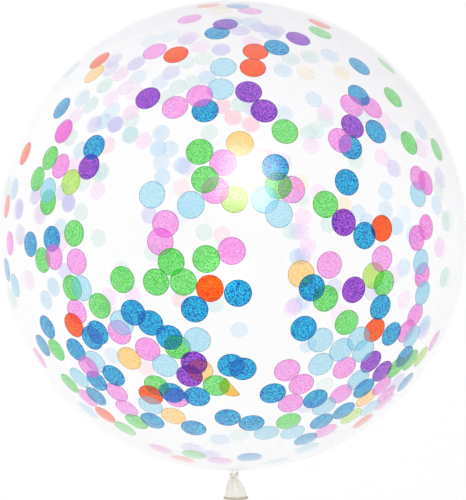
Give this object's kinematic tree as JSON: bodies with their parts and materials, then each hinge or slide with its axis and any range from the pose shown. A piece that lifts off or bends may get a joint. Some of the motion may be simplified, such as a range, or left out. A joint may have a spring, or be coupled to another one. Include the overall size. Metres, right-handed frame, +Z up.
{
  "type": "confetti balloon",
  "caption": "Giant round clear latex balloon with paper confetti discs inside, knotted at the neck, with a flared pleated tail and rolled lip, lying on its side.",
  "frame": {"origin": "centre of the small flat spot that the balloon lies on, at ground level", "axes": "+Z up, +Y along the balloon's axis away from the neck, so the knot and tail point to -Y; +X to the right when seen from above with the neck towards the viewer"},
  "size_m": [0.9, 0.975, 0.8972],
  "materials": {
    "latex": "cream-white natural latex, satin, gathered and translucent at the neck, knot, tail and lip",
    "clear_film": "stretched clear latex film, glossy, see-through with a milky edge",
    "paper_azure": "matte tissue paper, azure blue",
    "paper_aqua": "matte tissue paper, pale aqua",
    "paper_green": "matte tissue paper, grass green",
    "paper_lime": "matte tissue paper, lime",
    "paper_purple": "matte tissue paper, purple",
    "paper_pink": "matte tissue paper, rose pink",
    "paper_orange": "matte tissue paper, orange",
    "paper_peach": "matte tissue paper, peach yellow"
  },
  "bodies": {
    "root": {"balloon": "latex"}
  },
  "joints": []
}
